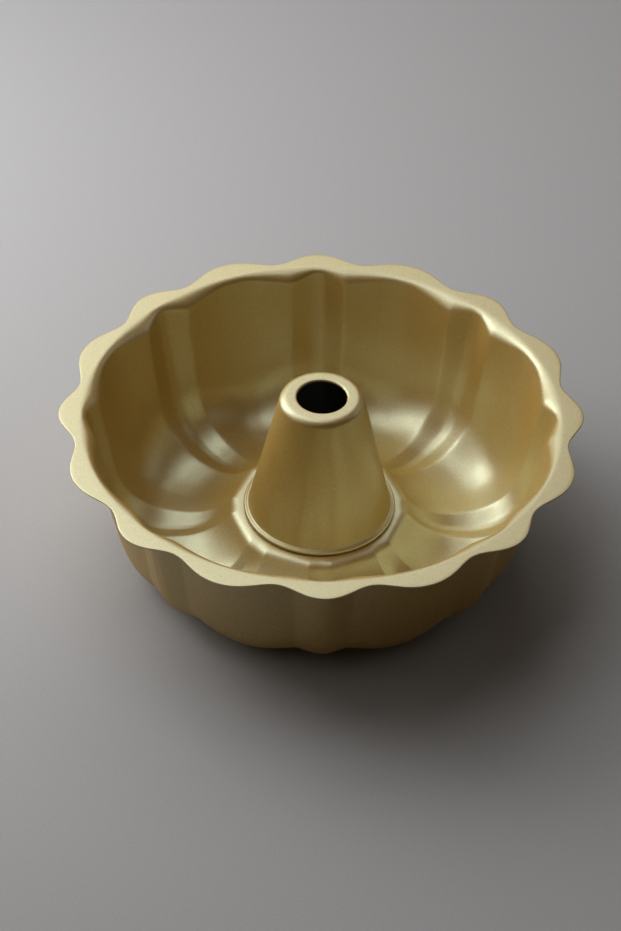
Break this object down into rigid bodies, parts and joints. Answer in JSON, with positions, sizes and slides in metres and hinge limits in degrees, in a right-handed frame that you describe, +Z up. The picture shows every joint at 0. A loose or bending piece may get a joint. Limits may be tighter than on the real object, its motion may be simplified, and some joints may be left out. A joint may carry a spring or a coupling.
{
  "type": "fluted ring cake pan",
  "caption": "Round fluted cake pan of coated sheet steel with a scalloped flange and a hollow cone-shaped centre tube rolled into its floor.",
  "frame": {"origin": "on the table under the pan's axis, at the bottom centre of its bounding box", "axes": "+Z up along the pan's axis; +X and +Y through the middles of two narrow flutes"},
  "size_m": [0.26, 0.26, 0.0898],
  "materials": {
    "champagne_nonstick": "satin champagne-gold non-stick coating with a fine metallic grain"
  },
  "bodies": {
    "root": {"fluted_body": "champagne_nonstick", "centre_tube": "champagne_nonstick"}
  },
  "joints": []
}
